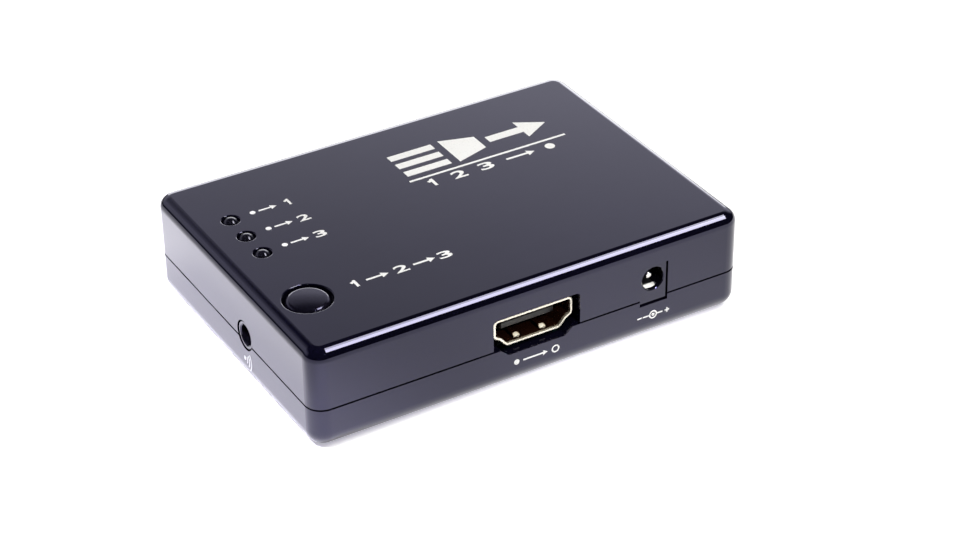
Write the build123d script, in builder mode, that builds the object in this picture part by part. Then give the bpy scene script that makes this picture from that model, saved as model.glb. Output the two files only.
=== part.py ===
"""Three-input video switch: a two-part moulded case round a board with its sockets, lights and button.

Millimetres. The origin is the centre of the case's underside. +X runs along the long side to the right as
the front is seen, +Y points to the back and +Z points up.
"""

import os

from build123d import *

# Case
case_length = 80.0
case_width = 57.0
case_height = 18.2
parting_height = 7.6
wall_thickness = 2.0
floor_thickness = 2.0
top_thickness = 2.0
corner_radius = 3.0
top_edge_radius = 2.0
bottom_edge_radius = 2.8
inner_edge_radius = 0.6

# Seam between the two case parts: a shadow groove outside and a lip inside
groove_height = 0.33
groove_depth = 0.5
lip_thickness = 0.9
lip_height = 1.2
lip_side_gap = 0.1
lip_top_gap = 0.2
lip_end_gap = 0.4

# Screws and the posts that they pull together
screw_inset = 5.7
screw_diameter = 2.2
screw_length = 8.0
screw_point = 0.8
screw_head_diameter = 4.0
screw_head_height = 1.4
screw_head_rounding = 0.46
screw_slot_width = 0.6
screw_slot_length = 2.4
screw_slot_depth = 0.7
screw_grip_gap = 0.03
screw_free_gap = 0.15
head_seat_height = 2.6
head_hole_diameter = 4.5
lower_post_diameter = 6.5
upper_post_diameter = 5.0
post_hole_depth = 5.0
rib_thickness = 1.0
rib_bottom = 10.5

# Circuit board
post_height = 3.1
board_thickness = 1.6
board_edge_gap = 1.0
board_corner_radius = 1.0
lead_hole_gap = 0.15
rest_width = 1.2
rest_reach = 3.0
rest_offset = 4.2

# Video sockets
mouth_width = 14.0
mouth_height = 4.55
mouth_side_height = 2.65
mouth_step_inset = 1.05
mouth_step_height = 0.6
mouth_bottom_width = 9.7
mouth_corner_radius = 0.5
shell_thickness = 0.3
rim_thickness = 0.45
rim_depth = 0.5
rim_rounding = 0.2
shell_length = 10.4
socket_recess = 1.2
socket_board_gap = 0.375
shell_leg_width = 1.2
shell_leg_depths = [3.4, 8.0]
shell_leg_below_board = 0.9

# Springs punched from the socket shells
spring_offset = 2.43
spring_width = 1.2
spring_slot_width = 1.8
spring_root_depth = 6.0
spring_tip_depth = 1.2
spring_bump_depth = 1.8
spring_bump_height = 0.35
upper_spring_setback = 1.6

# Tongues and contacts of the video sockets
tongue_width = 10.2
tongue_thickness = 1.4
tongue_recess = 1.95
tongue_edge_chamfer = 0.25
block_recess = 6.9
block_gap = 0.03
contact_pitch = 1.0
upper_contact_count = 10
lower_contact_count = 9
contact_width = 0.3
contact_thickness = 0.15
contact_proud = 0.05
contact_recess = 2.5
upper_tail_reach = 1.4
lower_tail_reach = 0.6
contact_foot_length = 0.7

# Places of the sockets
output_x = 0.25
input_end_inset = 17.0
input_count = 3
window_side_gap = 0.8
window_end_gap = 1.075
window_corner_radius = 0.8
notch_bottom_gap = 0.45
notch_flare = 1.8
notch_corner_radius = 0.8

# Power jack
power_end_inset = 17.37
power_body_width = 5.0
power_body_height = 6.9
power_body_length = 10.5
power_face_recess = 0.3
power_flange_length = 2.4
power_rear_inset = 0.3
power_axis_height = 4.25
power_bore_diameter = 4.15
power_bore_depth = 8.6
power_mouth_chamfer = 0.15
power_pin_diameter = 1.3
power_pin_recess = 1.1
power_pin_collar_diameter = 2.2
power_pin_collar_length = 0.6
power_pin_tip_rounding = 0.43
power_leg_thickness = 0.5
power_leg_width = 1.6
power_leg_below_board = 1.2
power_spring_width = 2.2
power_spring_thickness = 0.25
power_spring_gap = 0.1
power_spring_recess = 0.75
power_spring_crest_start = 1.55
power_spring_crest_end = 2.6
power_spring_lift = 0.38
power_window_side_gap = 0.2
power_window_bottom_gap = 0.35
power_window_top_gap = 0.1

# Sensor jack, sunk into a notch of the board
sensor_y = -4.8
sensor_axis_height = 1.85
sensor_bore_diameter = 3.6
sensor_bore_length = 5.0
sensor_collar_diameter = 4.7
sensor_collar_recess = 0.15
sensor_hole_diameter = 5.3
sensor_mouth_chamfer = 0.2
sensor_body_length = 11.0
sensor_body_width = 6.0
sensor_body_height = 5.2
sensor_body_wall_gap = 0.1
sensor_wing_width = 1.1
sensor_wing_thickness = 0.9
sensor_wing_inset = 1.5
sensor_cavity_width = 4.4
sensor_cavity_height = 3.0
sensor_rear_wall = 0.8
sensor_notch_gap = 0.2
sensor_contact_thickness = 0.2
sensor_contact_width = 1.2
sensor_contact_bump = 0.8
sensor_contact_tip = 0.5
sensor_contact_foot = 0.8
sensor_contact_offsets = [1.2, 3.4]

# Indicator lights
indicator_end_inset = 7.15
indicator_first_y = 13.65
indicator_pitch = 5.85
indicator_count = 3
indicator_hole_diameter = 3.1
indicator_side_gap = 0.075
indicator_rise = 0.4
indicator_length = 5.3
indicator_flange_diameter = 3.8
indicator_flange_height = 1.0
indicator_flange_flat = 0.25
indicator_collar_wall = 0.9
indicator_collar_gap = 0.3
hole_rim_radius = 0.2
lead_spacing = 2.54
lead_thickness = 0.5
lead_hole_diameter = 1.0
lead_below_board = 1.0

# Select button
button_y = -13.85
button_hole_diameter = 8.25
button_side_gap = 0.5
button_rise = 0.15
button_crown = 0.2
button_rim_radius = 0.7
button_flange_width = 1.1
button_flange_height = 0.9
button_top_gap = 0.1
button_skin = 1.0
button_post_diameter = 3.0
button_post_length = 1.5
button_guide_gap = 0.25
button_guide_wall = 1.0
button_guide_depth = 2.6

# Push switch under the button
switch_width = 6.0
switch_base_height = 3.3
switch_floor = 0.9
switch_cavity_diameter = 4.8
switch_cover_thickness = 0.25
switch_peg_diameter = 0.8
switch_peg_height = 0.45
switch_peg_inset = 0.7
switch_peg_gap = 0.05
plunger_diameter = 3.5
plunger_hole_gap = 0.1
plunger_flange_diameter = 4.4
plunger_flange_height = 0.6
plunger_flange_gap = 0.05
plunger_nose_diameter = 1.4
dome_diameter = 4.2
dome_height = 0.75
dome_thickness = 0.12
switch_lead_width = 0.7
switch_lead_thickness = 0.3
switch_lead_row = 4.5
switch_lead_reach = 0.4
switch_lead_height = 1.3
switch_lead_below_board = 1.0

# Chips: centre, body size and leads
chip_x = 1.5
chip_y = -0.6
chip_width = 10.0
chip_height = 1.4
chip_lead_count = 16
chip_lead_pitch = 0.5
chip_lead_width = 0.22
control_x = -15.5
control_y = -9.0
control_length = 4.9
control_width = 3.9
control_lead_count = 4
control_lead_pitch = 1.27
control_lead_width = 0.4
regulator_y = -9.2
regulator_length = 6.5
regulator_width = 3.5
regulator_height = 1.6
regulator_lead_count = 3
regulator_lead_pitch = 2.3
regulator_lead_width = 0.7
regulator_tab_width = 3.0
chip_edge_chamfer = 0.2
gull_thickness = 0.15
gull_height = 0.7
gull_shoulder = 0.35
gull_foot = 0.6

# Small parts on the board
small_length = 1.6
small_width = 0.8
small_height = 0.6
large_capacitor_length = 3.2
large_capacitor_width = 1.6
large_capacitor_height = 1.4
diode_length = 1.8
diode_width = 1.3
diode_height = 0.9
capacitor_row_gap = 2.2
resistor_row_offset = 5.5

# Heights and inner sizes that follow
board_bottom = floor_thickness + post_height
board_top = board_bottom + board_thickness
ceiling = case_height - top_thickness
inner_length = case_length - 2 * wall_thickness
inner_width = case_width - 2 * wall_thickness
inner_corner_radius = corner_radius - wall_thickness
board_length = inner_length - 2 * board_edge_gap
board_width = inner_width - 2 * board_edge_gap
wall_cut = 2 * wall_thickness
screw_spacing_x = case_length - 2 * screw_inset
screw_spacing_y = case_width - 2 * screw_inset
socket_axis = board_top + socket_board_gap + shell_thickness + mouth_height / 2
power_axis = board_top + power_axis_height
sensor_axis = board_top + sensor_axis_height
button_diameter = button_hole_diameter - 2 * button_side_gap
button_flange_diameter = button_diameter + 2 * button_flange_width
button_flange_top = ceiling - button_top_gap
button_flange_bottom = button_flange_top - button_flange_height
button_top = case_height + button_rise
plunger_top = button_flange_bottom - button_post_length
switch_base_top = board_top + switch_base_height
switch_floor_top = board_top + switch_floor
dome_top = switch_floor_top + dome_height
indicator_top = case_height + indicator_rise
indicator_bottom = indicator_top - indicator_length
indicator_diameter = indicator_hole_diameter - 2 * indicator_side_gap
indicator_ys = [indicator_first_y - n * indicator_pitch for n in range(indicator_count)]
input_pitch = (case_length - 2 * input_end_inset) / (input_count - 1)
input_xs = [input_pitch * ((input_count - 1) / 2 - n) for n in range(input_count)]
power_x = case_length / 2 - power_end_inset
regulator_x = power_x
indicator_x = indicator_end_inset - case_length / 2
button_x = indicator_x
window_width = mouth_width + 2 * shell_thickness + 2 * window_side_gap
window_top = socket_axis + mouth_height / 2 + shell_thickness + window_end_gap
window_bottom = socket_axis - mouth_height / 2 - shell_thickness - window_end_gap

FRONT = -1
BACK = 1


def side_plane(x, side, recess, height):
    """A plane square to the front or back face, looking out of the case, at a depth behind that face."""
    origin = (x, side * (case_width / 2 - recess), height)
    return Plane(origin=origin, x_dir=(-side, 0, 0), z_dir=(0, side, 0))


def depth_plane(mouth, offset=0.0):
    """The upright plane that runs inwards from a socket's mouth: its x is the depth, its y is the height."""
    return Plane(origin=mouth.origin, x_dir=-mouth.z_dir, z_dir=mouth.x_dir).offset(offset)


def save(piece, name):
    piece.part.label = name
    export_step(piece.part, f"parts/{name}.step")


socket_ports = [(output_x, FRONT)] + [(x, BACK) for x in input_xs]
window_planes = [side_plane(x, side, 0, 0) for x, side in socket_ports]

os.makedirs("parts", exist_ok=True)


# Openings that both case parts share, and the gaps that they leave in the lip
def power_window():
    """The power jack's window, in a sketch whose height is measured from the table."""
    bottom = board_top - power_window_bottom_gap
    top = board_top + power_body_height + power_window_top_gap
    with Locations((0, bottom)):
        Rectangle(
            power_body_width + 2 * power_window_side_gap,
            top - bottom,
            align=(Align.CENTER, Align.MIN),
        )


def lip_gaps():
    """The stretches of the lip that the ports take away."""
    for x, side in socket_ports:
        with Locations((x, side * case_width / 2)):
            Rectangle(window_width + 2 * lip_end_gap, 2 * wall_cut)
    with Locations((power_x, FRONT * case_width / 2)):
        Rectangle(
            power_body_width + 2 * (power_window_side_gap + lip_end_gap),
            2 * wall_cut,
        )
    with Locations((-case_length / 2, sensor_y)):
        Rectangle(2 * wall_cut, sensor_hole_diameter + 2 * lip_end_gap)


# Lower case: floor, walls, lip, posts with sunk screw seats, rests under the board's edges
with BuildPart() as lower_case:
    with BuildSketch():
        RectangleRounded(case_length, case_width, corner_radius)
    extrude(amount=parting_height)
    fillet(lower_case.faces().sort_by(Axis.Z)[0].edges(), bottom_edge_radius)
    with BuildSketch(Plane.XY.offset(floor_thickness)):
        RectangleRounded(inner_length, inner_width, inner_corner_radius)
    extrude(amount=parting_height, mode=Mode.SUBTRACT)
    with BuildSketch(Plane.XY.offset(parting_height - groove_height)):
        RectangleRounded(case_length, case_width, corner_radius)
        RectangleRounded(
            case_length - 2 * groove_depth,
            case_width - 2 * groove_depth,
            corner_radius - groove_depth,
            mode=Mode.SUBTRACT,
        )
    extrude(amount=parting_height, mode=Mode.SUBTRACT)
    with BuildSketch(Plane.XY.offset(parting_height)):
        RectangleRounded(
            inner_length + 2 * lip_thickness,
            inner_width + 2 * lip_thickness,
            inner_corner_radius + lip_thickness,
        )
        RectangleRounded(inner_length, inner_width, inner_corner_radius, mode=Mode.SUBTRACT)
        with BuildSketch(mode=Mode.SUBTRACT):
            lip_gaps()
    extrude(amount=lip_height)
    with BuildSketch(Plane.XY.offset(floor_thickness)):
        with GridLocations(screw_spacing_x, screw_spacing_y, 2, 2):
            Circle(lower_post_diameter / 2)
        for x, side in socket_ports:
            with Locations((x, side * (inner_width - rest_reach) / 2)):
                with GridLocations(2 * rest_offset, 0, 2, 1):
                    Rectangle(rest_width, rest_reach)
    extrude(amount=post_height)
    with Locations(Plane.XY.rotated((180, 0, 0))):
        with GridLocations(screw_spacing_x, screw_spacing_y, 2, 2):
            CounterBoreHole(
                screw_diameter / 2 + screw_free_gap,
                head_hole_diameter / 2,
                head_seat_height,
                depth=board_bottom,
            )
    with BuildSketch(*window_planes) as notch:
        bottom_half = mouth_bottom_width / 2 + notch_bottom_gap
        top_half = bottom_half + notch_flare
        with BuildLine():
            Polyline(
                (-top_half, parting_height),
                (-bottom_half, window_bottom),
                (bottom_half, window_bottom),
                (top_half, parting_height),
                close=True,
            )
        make_face()
        fillet(notch.vertices().group_by(Axis.Y)[0], notch_corner_radius)
    extrude(amount=-wall_cut, mode=Mode.SUBTRACT)
    with BuildSketch(side_plane(power_x, FRONT, 0, 0)):
        power_window()
    extrude(amount=-wall_thickness, mode=Mode.SUBTRACT)
    with BuildSketch(Plane.YZ.offset(-case_length / 2)):
        with Locations((sensor_y, sensor_axis)):
            Circle(sensor_hole_diameter / 2)
    extrude(amount=wall_thickness, mode=Mode.SUBTRACT)
save(lower_case, "lower_case")


# Upper case: top, walls with the rebate for the lip, posts on ribs, collars round the lights and the button
with BuildPart() as upper_case:
    with BuildSketch(Plane.XY.offset(parting_height)):
        RectangleRounded(case_length, case_width, corner_radius)
    extrude(amount=case_height - parting_height)
    fillet(upper_case.faces().sort_by(Axis.Z)[-1].edges(), top_edge_radius)
    with BuildSketch(Plane.XY.offset(parting_height)):
        RectangleRounded(inner_length, inner_width, inner_corner_radius)
    extrude(amount=ceiling - parting_height, mode=Mode.SUBTRACT)
    ceiling_face = upper_case.faces().filter_by(Axis.Z).filter_by_position(Axis.Z, ceiling, ceiling)
    fillet(ceiling_face[0].edges(), inner_edge_radius)
    with BuildSketch(Plane.XY.offset(parting_height)):
        rebate = lip_thickness + lip_side_gap
        RectangleRounded(
            inner_length + 2 * rebate,
            inner_width + 2 * rebate,
            inner_corner_radius + rebate,
        )
    extrude(amount=lip_height + lip_top_gap, mode=Mode.SUBTRACT)
    with BuildSketch(Plane.XY.offset(board_top)):
        with GridLocations(screw_spacing_x, screw_spacing_y, 2, 2):
            Circle(upper_post_diameter / 2)
    extrude(amount=ceiling - board_top)
    with BuildSketch(Plane.XY.offset(rib_bottom)):
        for x_side in (-1, 1):
            for y_side in (-1, 1):
                with Locations((x_side * (inner_length + screw_spacing_x) / 4, y_side * screw_spacing_y / 2)):
                    Rectangle((inner_length - screw_spacing_x) / 2, rib_thickness)
                with Locations((x_side * screw_spacing_x / 2, y_side * (inner_width + screw_spacing_y) / 4)):
                    Rectangle(rib_thickness, (inner_width - screw_spacing_y) / 2)
    extrude(amount=ceiling - rib_bottom)
    with BuildSketch(Plane.XY.offset(ceiling - button_guide_depth)):
        with Locations((button_x, button_y)):
            Circle(button_flange_diameter / 2 + button_guide_gap + button_guide_wall)
            Rectangle(inner_length, inner_width, mode=Mode.INTERSECT)
            Circle(button_flange_diameter / 2 + button_guide_gap, mode=Mode.SUBTRACT)
    extrude(amount=button_guide_depth)
    with BuildSketch(Plane.XY.offset(ceiling)):
        for y in indicator_ys:
            with Locations((indicator_x, y)):
                Circle(indicator_hole_diameter / 2 + indicator_collar_wall)
    extrude(amount=indicator_bottom + indicator_flange_height + indicator_collar_gap - ceiling)
    with BuildSketch(Plane.XY.offset(board_top)):
        with GridLocations(screw_spacing_x, screw_spacing_y, 2, 2):
            Circle(screw_diameter / 2 + screw_grip_gap)
    extrude(amount=post_hole_depth, mode=Mode.SUBTRACT)
    with BuildSketch(Plane.XY.offset(case_height)):
        with Locations((button_x, button_y)):
            Circle(button_hole_diameter / 2)
        for y in indicator_ys:
            with Locations((indicator_x, y)):
                Circle(indicator_hole_diameter / 2)
    extrude(amount=-case_height / 2, mode=Mode.SUBTRACT)
    top_holes = upper_case.faces().sort_by(Axis.Z)[-1].inner_wires()
    fillet([edge for hole in top_holes for edge in hole.edges()], hole_rim_radius)
    with BuildSketch(*window_planes) as window:
        with Locations((0, parting_height)):
            Rectangle(window_width, window_top - parting_height, align=(Align.CENTER, Align.MIN))
        fillet(window.vertices().group_by(Axis.Y)[-1], window_corner_radius)
    extrude(amount=-wall_cut, mode=Mode.SUBTRACT)
    with BuildSketch(side_plane(power_x, FRONT, 0, 0)):
        power_window()
    extrude(amount=-wall_thickness, mode=Mode.SUBTRACT)
    with BuildSketch(Plane.YZ.offset(-case_length / 2)):
        with Locations((sensor_y, sensor_axis)):
            Circle(sensor_hole_diameter / 2)
    extrude(amount=wall_thickness, mode=Mode.SUBTRACT)
save(upper_case, "upper_case")


# Case screws: round heads with a cross recess, driven from below through the board into the upper posts
with BuildPart() as case_screws:
    with BuildSketch(Plane.XY.offset(head_seat_height)):
        with GridLocations(screw_spacing_x, screw_spacing_y, 2, 2):
            Circle(screw_head_diameter / 2)
    extrude(amount=-screw_head_height)
    fillet(case_screws.faces().filter_by(Axis.Z).group_by(Axis.Z)[0].edges(), screw_head_rounding)
    with BuildSketch(Plane.XY.offset(head_seat_height)):
        with GridLocations(screw_spacing_x, screw_spacing_y, 2, 2):
            Circle(screw_diameter / 2)
    extrude(amount=screw_length - screw_point)
    extrude(case_screws.faces().filter_by(Axis.Z).group_by(Axis.Z)[-1], amount=screw_point, taper=45)
    with BuildSketch(Plane.XY.offset(head_seat_height - screw_head_height)):
        with GridLocations(screw_spacing_x, screw_spacing_y, 2, 2):
            Rectangle(screw_slot_length, screw_slot_width)
            Rectangle(screw_slot_width, screw_slot_length)
    extrude(amount=screw_slot_depth, mode=Mode.SUBTRACT)
save(case_screws, "case_screws")


# Video sockets: a metal shell round a plastic block with its tongue and two rows of contacts
def mouth_outline(grow=0.0):
    """The inner outline of a video socket, wide side up, grown by a wall."""
    top = mouth_height / 2
    step_top = top - mouth_side_height
    right = [
        (mouth_width / 2, top),
        (mouth_width / 2, step_top),
        (mouth_width / 2 - mouth_step_inset, step_top - mouth_step_height),
        (mouth_bottom_width / 2, -top),
    ]
    left = [(-x, y) for x, y in reversed(right)]
    with BuildSketch() as outline:
        with BuildLine():
            Polyline(*right, *left, close=True)
        make_face()
        fillet(outline.vertices(), mouth_corner_radius)
        if grow:
            offset(amount=grow)
    return outline.sketch


def socket_shell(mouth):
    """The folded metal shell with its thicker rim, four legs and the springs that hold the plug."""
    leg_x = (mouth_width + shell_thickness) / 2
    leg_top = mouth_height / 2 - mouth_side_height
    leg_bottom = board_bottom - shell_leg_below_board - socket_axis
    wall_middle = (mouth_height + shell_thickness) / 2
    with BuildPart() as shell:
        with BuildSketch(mouth):
            add(mouth_outline(rim_thickness))
        extrude(amount=-rim_depth)
        fillet(shell.faces().sort_by(Axis(mouth.origin, mouth.z_dir))[-1].edges(), rim_rounding)
        with BuildSketch(mouth.offset(-rim_depth)):
            add(mouth_outline(shell_thickness))
        extrude(amount=rim_depth - shell_length)
        with BuildSketch(mouth):
            add(mouth_outline())
        extrude(amount=-shell_length, mode=Mode.SUBTRACT)
        for depth in shell_leg_depths:
            with BuildSketch(mouth.offset(-depth)):
                with Locations((-leg_x, leg_bottom), (leg_x, leg_bottom)):
                    Rectangle(shell_thickness, leg_top - leg_bottom, align=(Align.CENTER, Align.MIN))
            extrude(amount=-shell_leg_width)
        for side, setback in ((-1, 0), (1, upper_spring_setback)):
            slot_start = spring_tip_depth + setback - shell_thickness
            with BuildSketch(mouth.offset(-slot_start)):
                with Locations((-spring_offset, side * wall_middle), (spring_offset, side * wall_middle)):
                    Rectangle(spring_slot_width, 2 * shell_thickness)
            extrude(amount=slot_start - spring_root_depth, mode=Mode.SUBTRACT)
            crest = side * (wall_middle - spring_bump_height)
            bump = spring_bump_depth + setback
            with BuildSketch(depth_plane(mouth, -spring_offset), depth_plane(mouth, spring_offset)):
                with BuildLine():
                    Polyline(
                        (spring_root_depth + shell_thickness, side * wall_middle),
                        (spring_root_depth, side * wall_middle),
                        (bump + shell_thickness, crest),
                        (bump, crest),
                        (spring_tip_depth + setback, side * wall_middle),
                    )
                trace(line_width=shell_thickness)
            extrude(amount=spring_width / 2, both=True)
    return shell


def socket_contacts(mouth):
    """Both rows of contacts, each strip bent down behind the block to a foot on the board."""
    foot = board_top - socket_axis + contact_thickness / 2
    level = tongue_thickness / 2 + contact_proud - contact_thickness / 2
    rows = (
        (1, upper_contact_count, shell_length + upper_tail_reach),
        (-1, lower_contact_count, shell_length + lower_tail_reach),
    )
    with BuildPart() as contacts:
        for side, count, tail in rows:
            places = [(n - (count - 1) / 2) * contact_pitch for n in range(count)]
            with BuildSketch(*[depth_plane(mouth, x) for x in places]):
                with BuildLine():
                    Polyline(
                        (contact_recess, side * level),
                        (tail, side * level),
                        (tail, foot),
                        (tail + contact_foot_length, foot),
                    )
                trace(line_width=contact_thickness)
            extrude(amount=contact_width / 2, both=True)
    return contacts


def socket_insulator(mouth, contacts):
    """The plastic block that closes the shell at the back, and the tongue that reaches into the plug."""
    with BuildPart() as insulator:
        with BuildSketch(mouth.offset(-tongue_recess)):
            Rectangle(tongue_width, tongue_thickness)
        extrude(amount=tongue_recess - block_recess)
        chamfer(
            insulator.faces().sort_by(Axis(mouth.origin, mouth.z_dir))[-1].edges(),
            tongue_edge_chamfer,
        )
        with BuildSketch(mouth.offset(-block_recess)):
            add(mouth_outline(-block_gap))
        extrude(amount=block_recess - shell_length)
        add(contacts.part, mode=Mode.SUBTRACT)
    return insulator


def video_socket(name, x, side):
    mouth = side_plane(x, side, socket_recess, socket_axis)
    contacts = socket_contacts(mouth)
    save(socket_shell(mouth), f"{name}_shell")
    save(socket_insulator(mouth, contacts), f"{name}_insulator")
    save(contacts, f"{name}_contacts")


socket_names = ["output_socket"] + [f"input_socket_{n + 1}" for n in range(input_count)]
for socket_name, (port_x, port_side) in zip(socket_names, socket_ports):
    video_socket(socket_name, port_x, port_side)


# Power jack: moulded body, centre pin and the spring that touches the plug's sleeve
power_face = side_plane(power_x, FRONT, power_face_recess, board_top)
power_depth = depth_plane(power_face)
power_bore_bottom = power_axis_height - power_bore_diameter / 2
power_spring_base = power_bore_bottom - power_spring_thickness
power_spring_leg_depth = power_bore_depth - 2 * power_spring_thickness
power_leg_bottom = -board_thickness - power_leg_below_board

with BuildPart() as power_jack_spring:
    with BuildSketch(power_depth):
        crest = power_spring_base + power_spring_lift
        with BuildLine():
            Polyline(
                (power_spring_leg_depth, power_leg_bottom),
                (power_spring_leg_depth, power_spring_base),
                (power_spring_crest_end, crest),
                (power_spring_crest_start, crest),
                (power_spring_recess + power_spring_gap, power_spring_base),
            )
        trace(line_width=power_spring_thickness)
    extrude(amount=power_spring_width / 2, both=True)
save(power_jack_spring, "power_jack_spring")

with BuildPart() as power_jack_pin:
    with BuildSketch(power_face.offset(-power_pin_recess)):
        with Locations((0, power_axis_height)):
            Circle(power_pin_diameter / 2)
    extrude(amount=power_pin_recess - power_body_length)
    pin_tip = power_jack_pin.faces().sort_by(Axis.Y)[0]
    fillet(pin_tip.edges(), power_pin_tip_rounding)
    with BuildSketch(power_face.offset(-power_bore_depth)):
        with Locations((0, power_axis_height)):
            Circle(power_pin_collar_diameter / 2)
    extrude(amount=power_pin_collar_length)
    with BuildSketch(power_face.offset(-power_body_length)):
        with Locations((0, power_leg_bottom)):
            Rectangle(
                power_leg_width,
                power_axis_height + power_leg_width / 2 - power_leg_bottom,
                align=(Align.CENTER, Align.MIN),
            )
    extrude(amount=-power_leg_thickness)
save(power_jack_pin, "power_jack_pin")

with BuildPart() as power_jack_body:
    with BuildSketch(power_face):
        Rectangle(power_body_width, power_body_height, align=(Align.CENTER, Align.MIN))
    extrude(amount=-power_flange_length)
    with BuildSketch(power_face.offset(-power_flange_length)):
        Rectangle(
            power_body_width - 2 * power_rear_inset,
            power_body_height - power_rear_inset,
            align=(Align.CENTER, Align.MIN),
        )
    extrude(amount=power_flange_length - power_body_length)
    with BuildSketch(power_face):
        with Locations((0, power_axis_height)):
            Circle(power_bore_diameter / 2)
    extrude(amount=-power_bore_depth, mode=Mode.SUBTRACT)
    mouth_edge = power_jack_body.faces().sort_by(Axis.Y)[0].edges().filter_by(GeomType.CIRCLE)
    chamfer(mouth_edge, power_mouth_chamfer)
    with BuildSketch(power_face.offset(-power_spring_recess)):
        with Locations((0, power_spring_base - power_spring_thickness / 2 - power_spring_gap)):
            Rectangle(
                power_spring_width + 2 * power_spring_gap,
                power_bore_diameter / 2,
                align=(Align.CENTER, Align.MIN),
            )
    extrude(amount=power_spring_recess - power_bore_depth, mode=Mode.SUBTRACT)
    add(power_jack_spring.part, mode=Mode.SUBTRACT)
    add(power_jack_pin.part, mode=Mode.SUBTRACT)
save(power_jack_body, "power_jack_body")


# Sensor jack: a round collar in the case's hole, a body sunk into the board's notch, four spring contacts
sensor_collar_face = Plane(
    origin=(-case_length / 2 + sensor_collar_recess, sensor_y, sensor_axis),
    x_dir=(0, -1, 0),
    z_dir=(-1, 0, 0),
)
sensor_collar_length = wall_thickness + sensor_body_wall_gap - sensor_collar_recess
sensor_body_face = sensor_collar_face.offset(-sensor_collar_length)
sensor_body_front = -case_length / 2 + wall_thickness + sensor_body_wall_gap
sensor_body_back = sensor_body_front + sensor_body_length
sensor_cavity_start = sensor_collar_face.origin.X + sensor_bore_length

with BuildPart() as sensor_jack_contacts:
    for side in (-1, 1):
        wall_y = sensor_y + side * (sensor_cavity_width - sensor_contact_thickness) / 2
        outer_y = sensor_body_width / 2 + sensor_wing_width + sensor_contact_thickness
        foot_y = sensor_y + side * outer_y
        foot_z = board_top + sensor_contact_thickness / 2
        leg_z = sensor_axis - (sensor_contact_width - sensor_contact_thickness) / 2
        for start in sensor_contact_offsets:
            root_x = sensor_cavity_start + start
            tip_x = root_x + 2 * sensor_contact_width + sensor_contact_tip
            with BuildSketch(Plane.XY.offset(sensor_axis)):
                with BuildLine():
                    Polyline(
                        (root_x, wall_y),
                        (root_x + sensor_contact_width, wall_y),
                        (root_x + 2 * sensor_contact_width, wall_y - side * sensor_contact_bump),
                        (tip_x, wall_y - side * sensor_contact_bump / 2),
                    )
                trace(line_width=sensor_contact_thickness)
            extrude(amount=sensor_contact_width / 2, both=True)
            with BuildSketch(Plane.YZ.offset(root_x)):
                with BuildLine():
                    Polyline(
                        (wall_y, leg_z),
                        (foot_y, leg_z),
                        (foot_y, foot_z),
                        (foot_y + side * sensor_contact_foot, foot_z),
                    )
                trace(line_width=sensor_contact_thickness)
            extrude(amount=sensor_contact_width)
save(sensor_jack_contacts, "sensor_jack_contacts")

with BuildPart() as sensor_jack_body:
    with BuildSketch(sensor_collar_face):
        Circle(sensor_collar_diameter / 2)
    extrude(amount=-sensor_collar_length)
    with BuildSketch(sensor_body_face):
        Rectangle(sensor_body_width, sensor_body_height)
    extrude(amount=-sensor_body_length)
    with BuildSketch(Plane.XY.offset(board_top)):
        with Locations(((sensor_body_front + sensor_body_back) / 2, sensor_y)):
            Rectangle(
                sensor_body_length - 2 * sensor_wing_inset,
                sensor_body_width + 2 * sensor_wing_width,
            )
    extrude(amount=sensor_wing_thickness)
    with BuildSketch(sensor_collar_face):
        Circle(sensor_bore_diameter / 2)
    extrude(amount=-sensor_bore_length, mode=Mode.SUBTRACT)
    mouth_edge = sensor_jack_body.faces().sort_by(Axis.X)[0].edges().sort_by(Edge.length)[0]
    chamfer(mouth_edge, sensor_mouth_chamfer)
    with BuildSketch(sensor_collar_face.offset(-sensor_bore_length)):
        Rectangle(sensor_cavity_width, sensor_cavity_height)
    extrude(
        amount=sensor_cavity_start - sensor_body_back + sensor_rear_wall,
        mode=Mode.SUBTRACT,
    )
    add(sensor_jack_contacts.part, mode=Mode.SUBTRACT)
save(sensor_jack_body, "sensor_jack_body")


# Indicator lights: round lens bodies with a flange below the case top, on long leads
for number, y in enumerate(indicator_ys, start=1):
    upright = Plane(origin=(indicator_x, y, 0), x_dir=(1, 0, 0), z_dir=(0, -1, 0))
    lens_radius = indicator_diameter / 2
    dome_start = indicator_top - lens_radius
    flange_radius = indicator_flange_diameter / 2
    flange_top = indicator_bottom + indicator_flange_height
    with BuildPart() as indicator_lens:
        with BuildSketch(upright):
            with BuildLine():
                Polyline(
                    (0, indicator_top),
                    (0, indicator_bottom),
                    (flange_radius, indicator_bottom),
                    (flange_radius, flange_top),
                    (lens_radius, flange_top),
                    (lens_radius, dome_start),
                )
                CenterArc((0, dome_start), lens_radius, 0, 90)
            make_face()
        revolve(axis=Axis((indicator_x, y, 0), (0, 0, 1)))
        with BuildSketch(Plane.XY.offset(indicator_bottom)):
            with Locations((indicator_x - flange_radius, y)):
                Rectangle(2 * indicator_flange_flat, indicator_flange_diameter)
        extrude(amount=indicator_flange_height, mode=Mode.SUBTRACT)
    save(indicator_lens, f"indicator_lens_{number}")
    with BuildPart() as indicator_leads:
        with BuildSketch(Plane.XY.offset(board_bottom - lead_below_board)):
            with Locations((indicator_x, y)):
                with GridLocations(lead_spacing, 0, 2, 1):
                    Rectangle(lead_thickness, lead_thickness)
        extrude(amount=indicator_bottom - board_bottom + lead_below_board)
    save(indicator_leads, f"indicator_leads_{number}")


# Select button: a hollow cap with a flange that stays under the case top and a post on the switch's plunger
button_axis = Axis((button_x, button_y, 0), (0, 0, 1))
button_upright = Plane(origin=(button_x, button_y, 0), x_dir=(1, 0, 0), z_dir=(0, -1, 0))
button_radius = button_diameter / 2

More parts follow.
